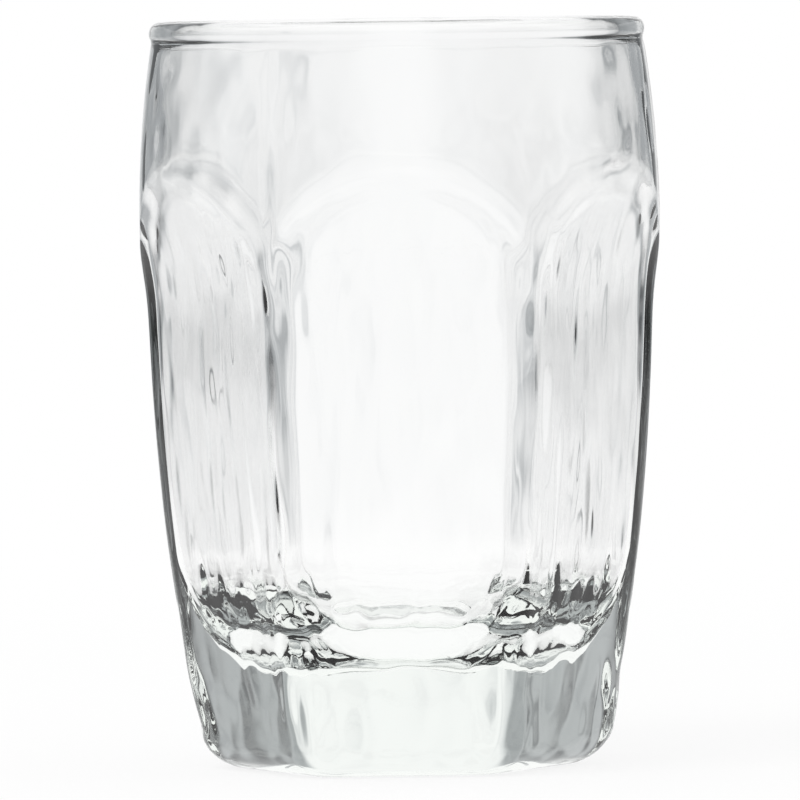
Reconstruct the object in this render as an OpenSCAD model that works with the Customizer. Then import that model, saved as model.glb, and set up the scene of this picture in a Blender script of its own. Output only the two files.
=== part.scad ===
// Pressed juice glass with six arched panels, in millimetres.
// The origin is the middle of the foot, on the table, and +Z points up to the rim.
// A flat panel faces -Y and one faces +Y, so two of the ridges point along +X and -X.

/* [Height] */
// Height from the table to the top of the rim
glass_h = 88.9; // [86:0.1:94]
// Thickness of solid glass from the table to the floor of the bowl
floor_t = 12.8; // [9:0.1:16]

/* [Rim] */
// Radius of the round section of the rim's bead
bead_r = 1.4; // [1.3:0.05:1.6]
// Distance of the bead's middle outside the middle of the wall
bead_shift = 0.1; // [0:0.05:0.2]

/* [Round band] */
// Largest outside radius of the round band above the panels
band_r = 30.9; // [30.7:0.05:31.1]
// Height at which the band is largest, and above which it draws in
band_z = 65; // [64:0.1:66]
// Radius of the band's bulge, seen from the side
band_bulge_r = 135; // [125:1:150]

/* [Panels] */
// Number of panels
panel_count = 6; // [6]
// Distance from the axis to a panel's face, where the panels are widest
panel_d = 26.1; // [25.9:0.05:26.3]
// Height at which the panels are widest, and above which their arches begin
panel_z = 59.5; // [58.5:0.1:60.5]
// Radius of a panel's bow from its foot to its arch, seen from the side
panel_bow_r = 328; // [310:1:350]
// Radius of the hollow that ends a panel in an arch
arch_hollow_r = 17; // [16:0.1:18]

/* [Wall] */
// Wall thickness, measured square to the outside
wall_t = 2.05; // [1.8:0.05:2.3]
// Radius of the ball that shapes the bottom of the bowl
bowl_r = 31.4; // [30:0.1:33]
// Radius of the flat in the middle of the bowl's floor
bowl_flat_r = 9; // [7:0.1:11]

/* [Foot] */
// Radius that rounds the bottom edge
foot_round_r = 4.2; // [3:0.1:5.5]
// Radius of the shallow hollow under the foot
punt_r = 12; // [9:0.1:14]
// Depth of the hollow under the foot
punt_depth = 0.8; // [0.5:0.05:1.5]

/* [Hidden] */
$fn = 180;
glass_colour = [0.86, 0.93, 0.93, 0.45];

// How far a cut runs past the face that it opens
overrun = 1;
// Reach of the cuts, which is past the outside of the glass
span = 2 * (band_r + overrun);
// Width of the cut for one panel, which runs into its neighbours
cut_w = 2 * (band_r * tan(180 / panel_count) + overrun);
// Height of the bead's middle, where the wall ends
bead_z = glass_h - bead_r;
// Radius of the bead's middle, which is over the middle of the wall there
bead_mid_r = band_r - band_bulge_r + sqrt(pow(band_bulge_r, 2) - pow(bead_z - band_z, 2))
    - wall_t / 2 + bead_shift;
// Distance of the foot's rounded edge's middle from the faces that it joins, as a share
// of its radius. Under 1, so that it crosses them at a slight angle.
crease_share = 0.94;
// Height of the middle of the ball that shapes the bowl
bowl_mid_z = floor_t + sqrt(pow(bowl_r, 2) - pow(bowl_flat_r, 2));
// Radius of the ball that presses the hollow under the foot
punt_ball_r = (pow(punt_r, 2) + pow(punt_depth, 2)) / (2 * punt_depth);

// A rectangle from the axis outwards, between two heights
module slab(low, high, width) {
    translate([0, low])
        square([width, high - low]);
}

// Half of the round band, with a plain cylinder below it for the panels to cut into.
// Inset moves it inwards, to give the inside of the wall.
module band_section(inset, low, high) {
    slab(low, band_z, band_r - inset);
    intersection() {
        translate([band_r - band_bulge_r, band_z])
            circle(r = band_bulge_r - inset);
        slab(band_z, high, span);
    }
}

// Half of the ball that shapes the bowl's floor, with all that is above its middle
module bowl_section() {
    translate([0, bowl_mid_z])
        circle(r = bowl_r);
    slab(bowl_mid_z, bead_z + 2 * overrun, span);
}

// What one panel takes off the glass below its widest height: all outside its bow
module bow_cut_section(inset, low) {
    difference() {
        slab(low, panel_z, span);
        intersection() {
            translate([panel_d - panel_bow_r, panel_z])
                circle(r = panel_bow_r - inset);
            slab(low, panel_z, span);
        }
    }
}

// What one panel takes off the foot: all outside its rounded bottom edge
module foot_cut_section() {
    near = foot_round_r * crease_share;
    sag = panel_bow_r - near - sqrt(pow(panel_bow_r - near, 2) - pow(panel_z - near, 2));
    difference() {
        translate([panel_d - near - sag, -overrun])
            square([span, near + overrun]);
        translate([panel_d - near - sag, near])
            circle(r = foot_round_r);
    }
}

// What one panel takes off the glass above its widest height: the hollow of its arch
module arch_cut_section(inset) {
    intersection() {
        translate([panel_d + arch_hollow_r, panel_z])
            circle(r = arch_hollow_r + inset);
        slab(panel_z, glass_h, span);
    }
}

// Runs a section across the glass, where panel number i is
module panel_cut(i) {
    rotate((i + 0.5) * 360 / panel_count)
        rotate([90, 0, 0])
            linear_extrude(height = cut_w, center = true)
                children();
}

// The outside of the glass, solid. Its panels are cut one after another.
module outside(panels = panel_count) {
    difference() {
        if (panels > 1)
            outside(panels - 1);
        else
            rotate_extrude()
                band_section(0, 0, bead_z);
        panel_cut(panels) {
            arch_cut_section(0);
            bow_cut_section(0, -overrun);
            foot_cut_section();
        }
    }
}

// The space inside the glass
module inside() {
    difference() {
        rotate_extrude()
            intersection() {
                band_section(wall_t, floor_t, bead_z + overrun);
                bowl_section();
            }
        for (i = [1 : panel_count])
            panel_cut(i) {
                arch_cut_section(wall_t);
                bow_cut_section(wall_t, floor_t - overrun);
            }
    }
}

// The fire-polished bead that closes the top of the wall
module rim_bead() {
    rotate_extrude()
        translate([bead_mid_r, bead_z])
            circle(r = bead_r);
}

// The shallow hollow under the foot, which leaves a flat ring to stand on
module punt() {
    translate([0, 0, punt_depth - punt_ball_r])
        sphere(r = punt_ball_r);
}

// The glass is one piece: an outside form, hollowed by an inside one, and its bead
module tumbler() {
    color(glass_colour) {
        difference() {
            outside();
            inside();
            punt();
        }
        rim_bead();
    }
}

tumbler();
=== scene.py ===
import math
import bpy
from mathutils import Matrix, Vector, noise


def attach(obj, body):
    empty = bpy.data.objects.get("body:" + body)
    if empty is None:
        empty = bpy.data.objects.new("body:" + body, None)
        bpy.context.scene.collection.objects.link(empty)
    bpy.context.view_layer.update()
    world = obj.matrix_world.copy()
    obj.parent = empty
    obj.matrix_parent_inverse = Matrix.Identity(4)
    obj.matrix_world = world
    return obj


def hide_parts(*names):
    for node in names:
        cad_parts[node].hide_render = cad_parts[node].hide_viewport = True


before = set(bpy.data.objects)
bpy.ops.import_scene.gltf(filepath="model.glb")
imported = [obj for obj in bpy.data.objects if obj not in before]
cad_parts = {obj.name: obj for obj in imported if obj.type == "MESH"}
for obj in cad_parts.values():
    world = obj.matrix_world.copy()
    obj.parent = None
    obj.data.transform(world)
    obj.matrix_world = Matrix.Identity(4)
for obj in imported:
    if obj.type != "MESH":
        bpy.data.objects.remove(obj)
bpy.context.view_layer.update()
mm = 0.001

# The glass, in millimetres. Ridges point along +X and every 60 degrees from there.
glass = {
    "height": 88.9,
    "sides": 6,
    "steps": 288,  # points round the glass
    "crowding": 0.35,  # how much closer together those points are at the ridges
    "bandRadius": 30.9,
    "bandZ": 65.0,
    "bandBulge": 135.0,
    "panelRadius": 26.45,  # axis to panel face, at panelZ
    "panelZ": 62.0,
    "panelBow": 358.0,
    "archZ": 54.5,  # centre of the round arch at each panel's top
    "leanSoft": 2.5,  # how gradually the panel begins to lean out there
    "archSoft": 0.7,  # how softly panel and band meet
    "ridgeRound": 3.0,  # rounding of the ridges
    "ridgeRoundFoot": 4.3,  # and round the solid foot
    "ridgeBlend": (8, 30),  # heights between which one becomes the other
    "footRound": 4.2,
    "puntRadius": 12.0,
    "puntDepth": 0.8,
    "beadRadius": 1.4,
    "beadCentre": 28.08,
    "beadArc": (-32, 212),  # degrees of the bead's round that stand free of the wall
    "neckDrop": 2.6,  # rim to where the wall ends under the bead
    "unevenDrop": 2.65,  # rim to where the rim's own waves begin
    "refraction": 1.52,
    "tint": (0.70, 0.86, 0.70, 1),
    "tintDensity": 4.0,
}

# The inside of the glass, in millimetres
bowl = {
    "wall": 2.05,
    "floorZ": 12.8,
    "floorRound": 13.0,  # curve from wall to floor
    "flatRadius": 9.0,
    "flatFade": 6.0,  # from there the waves grow over this distance
    "cornerRound": 2.7,  # rounding of the inside corners
    "cornerRoundFloor": 9.0,  # and at the floor
    "cornerTop": 27.0,  # height at which the corners begin to widen
    "archSoft": 1.7,
}

# How finely the blank is drawn, in millimetres, and in steps for the rounds
grid = {
    "punt": 1.2,
    "foot": 0.8,
    "wall": 1.1,
    "archHeights": (57.0, 73.0),
    "arch": 0.4,
    "band": 0.9,
    "insideArchHeights": (52.0, 72.0),
    "insideArch": 0.6,
    "floor": 0.9,
    "footTurns": 12,
    "beadTurns": 22,
    "bowlTurns": 22,
}

# Unevenness left by the mould and the plunger: depth in millimetres, size of one wave along
# x, y and z, and the heights between which it comes and goes
waves = {
    "outer": {"depth": 0.02, "size": (3.2, 3.2, 11.0), "seed": 23.0},
    "foot": {"depth": 0.46, "size": (4.0, 4.0, 8.0), "seed": 75.0, "heights": (2, 5, 11, 18)},
    "inner": {"depth": 0.06, "size": (3.4, 3.4, 12.0), "seed": 11.0},
    "broad": {"depth": 0.13, "size": (8.0, 8.0, 11.0), "seed": 37.0},
    "comb": {"depth": 0.13, "size": (1.9, 1.9, 14.0), "seed": 83.0, "heights": (13, 17, 21, 36)},
    "dimple": {"depth": 0.08, "size": (2.7, 2.7, 5.5), "seed": 97.0, "heights": (45, 54, 62, 69)},
    "band": {"depth": 0.19, "size": (5.0, 5.0, 7.0), "seed": 43.0},
    "rim": {"depth": 0.04, "size": (9.0, 9.0, 9.0), "seed": 5.0},
}
surface = {
    "octave": 0.3,  # share of the finer waves in each kind
    "octaveScale": 2.1,
    "bandHeights": (64, 74),  # where the panels' waves give way to the band's
    "innerLoss": 0.9,  # share that each kind loses there
    "broadLoss": 0.7,
    "outerLoss": 0.7,
    "corner": 0.2,  # share of the inner and broad waves that is left along the inside corners
    "cornerAngles": (0.04, 0.17),  # radians from the corner over which they come back
    "rimRise": 1.5,  # height over which the rim's waves come in
    "seam": 0.1,  # height of the mould's seams, above three of the ridges
    "seamWidth": 0.7,
    "seamHeights": (60, 66),
    "fineScale": (290, 290, 62),
    "fineDepth": 0.00026,
    "fineLevels": ((0.0, 0.05), (0.05, 0.05), (0.07, 0.3), (0.13, 0.3), (0.16, 0.15), (0.2, 0.4),
                   (0.28, 1.0), (0.66, 1.0), (0.76, 0.15), (0.93, 0.1)),  # share of the height, strength
}


def smoothStep(low, high, x):
    t = min(max((x - low) / (high - low), 0.0), 1.0)
    return t * t * (3 - 2 * t)


def mix(a, b, t):
    return a + (b - a) * t


def arcDrop(radius, run):
    # how far an arc has turned away after a run along its tangent
    run = min(abs(run), radius * 0.995)
    return radius - math.sqrt(radius * radius - run * run)


def ridgeAngle(phi):
    # angle from the nearest ridge
    sector = 2 * math.pi / glass["sides"]
    return abs((phi + sector / 2) % sector - sector / 2)


def hexRadius(apothem, rounding, theta):
    # distance from the axis to a rounded hexagon, theta from its ridge
    half = math.pi / glass["sides"]
    centre = (apothem - rounding) / math.cos(half)
    touch = math.atan2(rounding * math.sin(half), centre + rounding * math.cos(half))
    if theta < touch:
        across = centre * math.sin(theta)
        return centre * math.cos(theta) + math.sqrt(rounding * rounding - across * across)
    return apothem / math.cos(half - theta)


def bandRadius(z):
    g = glass
    return g["bandRadius"] - (arcDrop(g["bandBulge"], z - g["bandZ"]) if z > g["bandZ"] else 0.0)


def softMin(a, b, width):
    near = max(1 - abs(a - b) / width, 0.0)
    return min(a, b) - width / 4 * near * near


def panelDistance(z, depth):
    # axis to panel face, or to the inside behind it; above archZ the panel leans out
    # so that it meets the band in a round arch
    g = glass
    upright = g["panelRadius"] - arcDrop(g["panelBow"], min(z - g["panelZ"], 0.0))
    above = g["leanSoft"] * math.log1p(math.exp((z - g["archZ"]) / g["leanSoft"]))
    face = math.hypot(upright, above)
    return face - depth * math.hypot(1, above / face)


def outerRadius(phi, z):
    g = glass
    theta = ridgeAngle(phi)
    apothem = panelDistance(z, 0.0)
    if z < g["footRound"]:
        apothem -= arcDrop(g["footRound"], g["footRound"] - z)
    rounding = mix(g["ridgeRoundFoot"], g["ridgeRound"], smoothStep(*g["ridgeBlend"], z))
    return softMin(hexRadius(apothem, rounding, theta), bandRadius(z), g["archSoft"])


def innerRadius(phi, z):
    b = bowl
    theta = ridgeAngle(phi)
    apothem = panelDistance(z, b["wall"])
    low = b["floorZ"] + b["floorRound"]
    rounding = mix(b["cornerRoundFloor"], b["cornerRound"], smoothStep(b["floorZ"], b["cornerTop"], z))
    if z < low:
        apothem -= arcDrop(b["floorRound"], low - z)
    radius = hexRadius(apothem, min(rounding, apothem * 0.9), theta)
    return softMin(radius, bandRadius(z) - b["wall"], b["archSoft"])


def stepsBetween(low, high, size):
    count = max(int(round(abs(high - low) / size)), 1)
    return [mix(low, high, i / count) for i in range(1, count + 1)]


def blankProfile():
    # half of the section through a ridge: (radius, height), from the foot's middle round to the bowl's
    g, b = glass, bowl
    line = []
    ball = (g["puntRadius"] ** 2 + g["puntDepth"] ** 2) / (2 * g["puntDepth"])
    for r in [0.0] + stepsBetween(0.0, g["puntRadius"], grid["punt"]):
        line.append((r, g["puntDepth"] - arcDrop(ball, r)))
    edge = outerRadius(0, 0.0)
    for r in stepsBetween(g["puntRadius"], edge, grid["foot"])[:-1]:
        line.append((r, 0.0))
    for i in range(grid["footTurns"] + 1):
        z = g["footRound"] * (1 - math.cos(math.pi / 2 * i / grid["footTurns"]))
        line.append((outerRadius(0, z), z))
    neck = g["height"] - g["neckDrop"]
    low, high = grid["archHeights"]
    heights = stepsBetween(g["footRound"], low, grid["wall"])
    heights += stepsBetween(low, high, grid["arch"])
    heights += stepsBetween(high, neck, grid["band"])
    line += [(outerRadius(0, z), z) for z in heights]
    for i in range(grid["beadTurns"] + 1):
        a = math.radians(mix(*g["beadArc"], i / grid["beadTurns"]))
        r = g["beadCentre"] + g["beadRadius"] * math.cos(a)
        line.append((r, g["height"] - g["beadRadius"] + g["beadRadius"] * math.sin(a)))
    low, high = grid["insideArchHeights"]
    curve = b["floorZ"] + b["floorRound"]
    heights = [neck] + stepsBetween(neck, high, grid["band"])
    heights += stepsBetween(high, low, grid["insideArch"])
    heights += stepsBetween(low, curve, grid["wall"])
    line += [(innerRadius(0, z), z) for z in heights]
    for i in range(1, grid["bowlTurns"] + 1):
        z = curve - b["floorRound"] * math.sin(math.pi / 2 * i / grid["bowlTurns"])
        line.append((innerRadius(0, z), z))
    edge = line[-1][0]
    for r in stepsBetween(edge, 0.0, grid["floor"]):
        line.append((r, b["floorZ"]))
    return line


def spinBlank(profile):
    # draws the profile point by point, and spins it into a solid of revolution
    bpy.ops.object.select_all(action="DESELECT")
    bpy.ops.mesh.primitive_plane_add(size=mm, location=(0, 0, 0))
    blank = bpy.context.object
    blank.name = "pressed_glass"
    bpy.ops.object.mode_set(mode="EDIT")
    bpy.ops.mesh.select_all(action="SELECT")
    bpy.ops.mesh.merge(type="CENTER")
    bpy.ops.transform.translate(value=(0, 0, profile[0][1] * mm))
    for (r0, z0), (r1, z1) in zip(profile, profile[1:]):
        move = ((r1 - r0) * mm, 0, (z1 - z0) * mm)
        bpy.ops.mesh.extrude_region_move(TRANSFORM_OT_translate={"value": move})
    bpy.ops.mesh.select_all(action="SELECT")
    bpy.ops.mesh.spin(steps=glass["steps"], angle=2 * math.pi, center=(0, 0, 0), axis=(0, 0, 1))
    bpy.ops.mesh.select_all(action="SELECT")
    bpy.ops.mesh.remove_doubles(threshold=1e-6)
    bpy.ops.mesh.normals_make_consistent(inside=False)
    bpy.ops.object.mode_set(mode="OBJECT")
    return blank


def wave(kind, point, share=1.0):
    # how far one kind of unevenness stands out at a point
    w = waves[kind]
    if "heights" in w:
        a, b, c, d = w["heights"]
        share *= smoothStep(a, b, point[2]) * (1 - smoothStep(c, d, point[2]))
    x, y, z = (place / size for place, size in zip(point, w["size"]))
    at = Vector((x, y, z + w["seed"]))
    height = noise.noise(at) + surface["octave"] * noise.noise(at * surface["octaveScale"])
    return w["depth"] * share * height


def pressPanels(blank):
    # moves each point of the blank out or in to where the mould or the plunger leaves it
    g, b, s = glass, bowl, surface
    near = 0.01
    sector = 2 * math.pi / g["sides"]
    unevenFrom = g["height"] - g["unevenDrop"]
    footEdge = outerRadius(0, 0.0)
    floorEdge = innerRadius(0, b["floorZ"])
    for v in blank.data.vertices:
        x, y, z = spot = v.co / mm
        r = math.hypot(x, y)
        if r < near:
            continue
        phi = math.atan2(y, x)
        phi -= g["crowding"] / g["sides"] * math.sin(g["sides"] * phi)
        middle = (outerRadius(0, max(z, 0.0)) + innerRadius(0, max(z, b["floorZ"]))) / 2
        upper = smoothStep(*s["bandHeights"], z)
        if z > unevenFrom:
            r += wave("rim", (x, y, 0), smoothStep(0, s["rimRise"], z - unevenFrom))
        elif z > b["floorZ"] - near and r < middle:
            if z < b["floorZ"] + near:
                share = r / floorEdge
                r = mix(r, share * innerRadius(phi, b["floorZ"]), share)
            else:
                r = innerRadius(phi, z)
            fade = smoothStep(b["flatRadius"], b["flatRadius"] + b["flatFade"], r)
            fade *= mix(s["corner"], 1.0, smoothStep(*s["cornerAngles"], ridgeAngle(phi)))
            r += wave("inner", spot, fade * (1 - s["innerLoss"] * upper))
            r += wave("broad", spot, fade * (1 - s["broadLoss"] * upper))
            r += wave("band", spot, upper)
            r += wave("dimple", spot)
            r += wave("comb", spot)
        elif z < near or r < footEdge - 0.5 and z < g["puntDepth"] + near:
            share = smoothStep(g["puntRadius"], footEdge, r)
            r = mix(r, r / footEdge * outerRadius(phi, 0.0), share)
        else:
            r = outerRadius(phi, z)
            r += wave("outer", spot, 1 - s["outerLoss"] * upper)
            r += wave("foot", spot)
            aside = r * math.remainder(phi, 2 * sector) / s["seamWidth"]
            r += s["seam"] * smoothStep(*s["seamHeights"], z) * math.exp(-aside * aside)
        v.co = Vector((r * math.cos(phi), r * math.sin(phi), z)) * mm
    blank.data.update()


def node(tree, kind, **values):
    made = tree.nodes.new(kind)
    for name, value in values.items():
        setattr(made, name, value)
    return made


def mathNode(tree, kind, a, b=None):
    made = node(tree, "ShaderNodeMath", operation=kind)
    for socket, value in zip(made.inputs, (a, b)):
        if isinstance(value, (int, float)):
            socket.default_value = value
        elif value is not None:
            tree.links.new(value, socket)
    return made.outputs[0]


def blendColours(tree, factor, a, b):
    made = node(tree, "ShaderNodeMix", data_type="RGBA")
    tree.links.new(factor, made.inputs["Factor"])
    for socket, value in ((made.inputs[6], a), (made.inputs[7], b)):  # its colour sockets
        if isinstance(value, bpy.types.NodeSocket):
            tree.links.new(value, socket)
        else:
            socket.default_value = value
    return made.outputs[2]


def makeGlassMaterial():
    mat = bpy.data.materials.new("clearGlass")
    mat.use_nodes = True
    tree = mat.node_tree
    skin = tree.nodes["Principled BSDF"]
    skin.inputs["Base Color"].default_value = (1.0, 1.0, 1.0, 1)
    skin.inputs["Roughness"].default_value = 0.0
    skin.inputs["IOR"].default_value = glass["refraction"]
    skin.inputs["Transmission Weight"].default_value = 1.0
    body = node(tree, "ShaderNodeVolumeAbsorption")
    body.inputs["Color"].default_value = glass["tint"]
    body.inputs["Density"].default_value = glass["tintDensity"]
    tree.links.new(body.outputs[0], tree.nodes["Material Output"].inputs["Volume"])
    coords = node(tree, "ShaderNodeTexCoord")
    stretch = node(tree, "ShaderNodeMapping")
    stretch.inputs["Scale"].default_value = surface["fineScale"]
    grain = node(tree, "ShaderNodeTexNoise")
    grain.inputs["Scale"].default_value = 1.0
    grain.inputs["Detail"].default_value = 1.0
    bump = node(tree, "ShaderNodeBump")
    bump.inputs["Distance"].default_value = surface["fineDepth"]
    tree.links.new(coords.outputs["Object"], stretch.inputs["Vector"])
    tree.links.new(stretch.outputs[0], grain.inputs["Vector"])
    height = node(tree, "ShaderNodeSeparateXYZ")
    tree.links.new(coords.outputs["Object"], height.inputs[0])
    share = mathNode(tree, "MULTIPLY", height.outputs["Z"], 1 / (glass["height"] * mm))
    strength = node(tree, "ShaderNodeValToRGB")
    stops = strength.color_ramp.elements
    for i, (at, level) in enumerate(surface["fineLevels"]):
        stop = stops[i] if i < 2 else stops.new(at)
        stop.position = at
        stop.color = (level, level, level, 1)
    tree.links.new(share, strength.inputs["Fac"])
    tree.links.new(strength.outputs["Color"], bump.inputs["Strength"])
    tree.links.new(grain.outputs[0], bump.inputs["Height"])
    tree.links.new(bump.outputs[0], skin.inputs["Normal"])
    return mat


# White light tent by direction, in degrees left and right of straight ahead: a bright screen
# in front and behind, narrower ones at the sides, darker between
studio = {
    "turnLevels": ((-90, 0.5), (-79, 0.4), (-70, 0.08), (-54, 0.12), (-46, 0.2), (-39, 0.5),
                   (-31, 0.36), (-21, 0.34), (-14, 0.66), (-8, 0.89), (-4, 0.94), (0, 0.96),
                   (5, 0.97), (11, 0.97), (17, 0.6), (23, 0.34), (31, 0.42), (39, 0.42),
                   (46, 0.12), (54, 0.1), (70, 0.08), (79, 0.4), (90, 0.5)),
    "topLevel": 0.9,
    "cool": 0.11,  # how much bluer the darker parts are
    "topFrom": 0.7,
    "topTo": 0.95,
    "roomLevel": 0.85,  # light that falls on the floor
    "floorRadius": 0.9,
    "nearFloor": 0.2,  # between these distances the floor's glow fades into the tent's painted light and shade, as the glass shows it
    "farFloor": 0.9,
    "floorShade": 0.15,  # share of the floor's look that takes shadows
    "shadeNear": 0.05,  # that share is lost between these distances
    "shadeFar": 0.45,
    "floorGap": 0.00002,  # floor to foot
    "lampPower": 2.2,
    "lampSize": 0.5,
    "lampPlace": (-0.35, -0.45, 0.8),
}


def makeTentGroup():
    # colour of the tent by direction: x and y of a vector in, colour out
    tree = bpy.data.node_groups.new("tentLevel", "ShaderNodeTree")
    tree.interface.new_socket("Vector", in_out="INPUT", socket_type="NodeSocketVector")
    tree.interface.new_socket("Color", in_out="OUTPUT", socket_type="NodeSocketColor")
    start = node(tree, "NodeGroupInput")
    end = node(tree, "NodeGroupOutput")
    split = node(tree, "ShaderNodeSeparateXYZ")
    tree.links.new(start.outputs[0], split.inputs[0])
    ahead = mathNode(tree, "ABSOLUTE", split.outputs["Y"])
    turn = mathNode(tree, "ARCTAN2", split.outputs["X"], ahead)
    turn = mathNode(tree, "ADD", mathNode(tree, "DIVIDE", turn, math.pi), 0.5)
    ramp = node(tree, "ShaderNodeValToRGB")
    ramp.color_ramp.interpolation = "B_SPLINE"
    stops = ramp.color_ramp.elements
    while len(stops) > 1:
        stops.remove(stops[-1])
    for i, (at, level) in enumerate(studio["turnLevels"]):
        stop = stops[0] if i == 0 else stops.new(at / 180 + 0.5)
        stop.position = at / 180 + 0.5
        cool = studio["cool"] * (1 - level)
        stop.color = (level * (1 - cool), level * (1 - cool * 0.35), level * (1 + cool * 0.1), 1)
    tree.links.new(turn, ramp.inputs["Fac"])
    tree.links.new(ramp.outputs["Color"], end.inputs[0])
    return tree


def makeWorld():
    world = bpy.data.worlds.new("lightTent")
    bpy.context.scene.world = world
    world.use_nodes = True
    tree = world.node_tree
    tree.nodes.clear()
    link = tree.links.new
    coords = node(tree, "ShaderNodeTexCoord")
    split = node(tree, "ShaderNodeSeparateXYZ")
    link(coords.outputs["Generated"], split.inputs[0])
    tent = node(tree, "ShaderNodeGroup", node_tree=tentGroup)
    link(coords.outputs["Generated"], tent.inputs[0])
    top = node(tree, "ShaderNodeMapRange", interpolation_type="SMOOTHSTEP")
    top.inputs["From Min"].default_value = studio["topFrom"]
    top.inputs["From Max"].default_value = studio["topTo"]
    link(split.outputs["Z"], top.inputs["Value"])
    lid = [studio["topLevel"]] * 3 + [1]
    around = blendColours(tree, top.outputs[0], tent.outputs[0], lid)

    rays = node(tree, "ShaderNodeLightPath")
    seen = mathNode(tree, "MAXIMUM", rays.outputs["Is Glossy Ray"], rays.outputs["Is Transmission Ray"])
    room = [studio["roomLevel"]] * 3 + [1]
    level = blendColours(tree, seen, room, around)
    final = blendColours(tree, rays.outputs["Is Camera Ray"], level, (1, 1, 1, 1))
    light = node(tree, "ShaderNodeBackground")
    link(final, light.inputs["Color"])
    out = node(tree, "ShaderNodeOutputWorld")
    link(light.outputs[0], out.inputs["Surface"])


def makeFloor():
    bpy.ops.object.select_all(action="DESELECT")
    bpy.ops.mesh.primitive_circle_add(vertices=96, radius=studio["floorRadius"], fill_type="NGON",
                                      location=(0, 0, -studio["floorGap"]))
    floor = bpy.context.object
    floor.name = "paleFloor"
    mat = bpy.data.materials.new("paleFloor")
    mat.use_nodes = True
    tree = mat.node_tree
    tree.nodes.clear()
    link = tree.links.new
    matt = node(tree, "ShaderNodeBsdfDiffuse")
    matt.inputs["Color"].default_value = (0.97, 0.97, 0.97, 1)
    coords = node(tree, "ShaderNodeTexCoord")
    length = node(tree, "ShaderNodeVectorMath", operation="LENGTH")
    link(coords.outputs["Object"], length.inputs[0])

    def fall(near, far, low, high):
        made = node(tree, "ShaderNodeMapRange", interpolation_type="SMOOTHSTEP")
        for name, value in zip(("From Min", "From Max", "To Min", "To Max"), (near, far, low, high)):
            made.inputs[name].default_value = value
        link(length.outputs["Value"], made.inputs["Value"])
        return made.outputs[0]

    rays = node(tree, "ShaderNodeLightPath")
    # seen straight: white, with the glass's soft shadow; seen in the glass: a white glow near the glass
    # that fades further out into painted light and shade, the tent's bright and dark sectors by
    # direction
    tent = node(tree, "ShaderNodeGroup", node_tree=tentGroup)
    link(coords.outputs["Object"], tent.inputs[0])
    fade = fall(studio["nearFloor"], studio["farFloor"], 0.0, 1.0)
    floorPaintedWithTent = blendColours(tree, fade, (1, 1, 1, 1), tent.outputs[0])
    shown = blendColours(tree, rays.outputs["Is Camera Ray"], floorPaintedWithTent, (1, 1, 1, 1))
    glow = node(tree, "ShaderNodeEmission")
    link(shown, glow.inputs["Color"])
    plain = fall(studio["shadeNear"], studio["shadeFar"], 1 - studio["floorShade"], 1.0)
    direct = mathNode(tree, "MULTIPLY", plain, rays.outputs["Is Camera Ray"])
    other = mathNode(tree, "MAXIMUM", rays.outputs["Is Glossy Ray"], rays.outputs["Is Transmission Ray"])
    mixed = node(tree, "ShaderNodeMixShader")
    link(mathNode(tree, "MAXIMUM", direct, other), mixed.inputs[0])
    link(matt.outputs[0], mixed.inputs[1])
    link(glow.outputs[0], mixed.inputs[2])
    out = node(tree, "ShaderNodeOutputMaterial")
    link(mixed.outputs[0], out.inputs["Surface"])
    floor.data.materials.append(mat)


def makeLamp():
    bpy.ops.object.select_all(action="DESELECT")
    bpy.ops.object.light_add(type="AREA", location=studio["lampPlace"])
    lamp = bpy.context.object
    lamp.name = "softBox"
    lamp.data.shape = "DISK"
    lamp.data.size = studio["lampSize"]
    lamp.data.energy = studio["lampPower"]
    lamp.visible_glossy = False
    lamp.visible_transmission = False
    lamp.rotation_euler = (-lamp.location).to_track_quat("-Z", "Y").to_euler()


# The photo's camera: far off and level with the rim
view = {
    "distance": 1.374,
    "height": 0.0985,
    "aim": (-0.0002, 0.0, 0.0436),
    "lens": 520,
    "roll": -0.78,  # degrees
}


def makeCamera():
    place = Vector((0, -view["distance"], view["height"]))
    data = bpy.data.cameras.new("photoCamera")
    data.lens = view["lens"]
    data.sensor_width = 36
    data.clip_start = 0.01
    camera = bpy.data.objects.new("photoCamera", data)
    bpy.context.scene.collection.objects.link(camera)
    camera.location = place
    turn = (Vector(view["aim"]) - place).to_track_quat("-Z", "Y").to_euler()
    turn.rotate_axis("Z", math.radians(view["roll"]))
    camera.rotation_euler = turn
    bpy.context.scene.camera = camera


scene = bpy.context.scene
scene.view_settings.view_transform = "Standard"

tumbler = spinBlank(blankProfile())
print("blank spun", len(tumbler.data.vertices), "points")
pressPanels(tumbler)
for face in tumbler.data.polygons:
    face.use_smooth = True
tumbler.data.materials.append(makeGlassMaterial())
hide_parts("tumbler")
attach(tumbler, "root")
print("glass pressed", len(tumbler.data.polygons), "faces")

tentGroup = makeTentGroup()
makeWorld()
makeFloor()
makeLamp()
makeCamera()
print("studio and camera set")
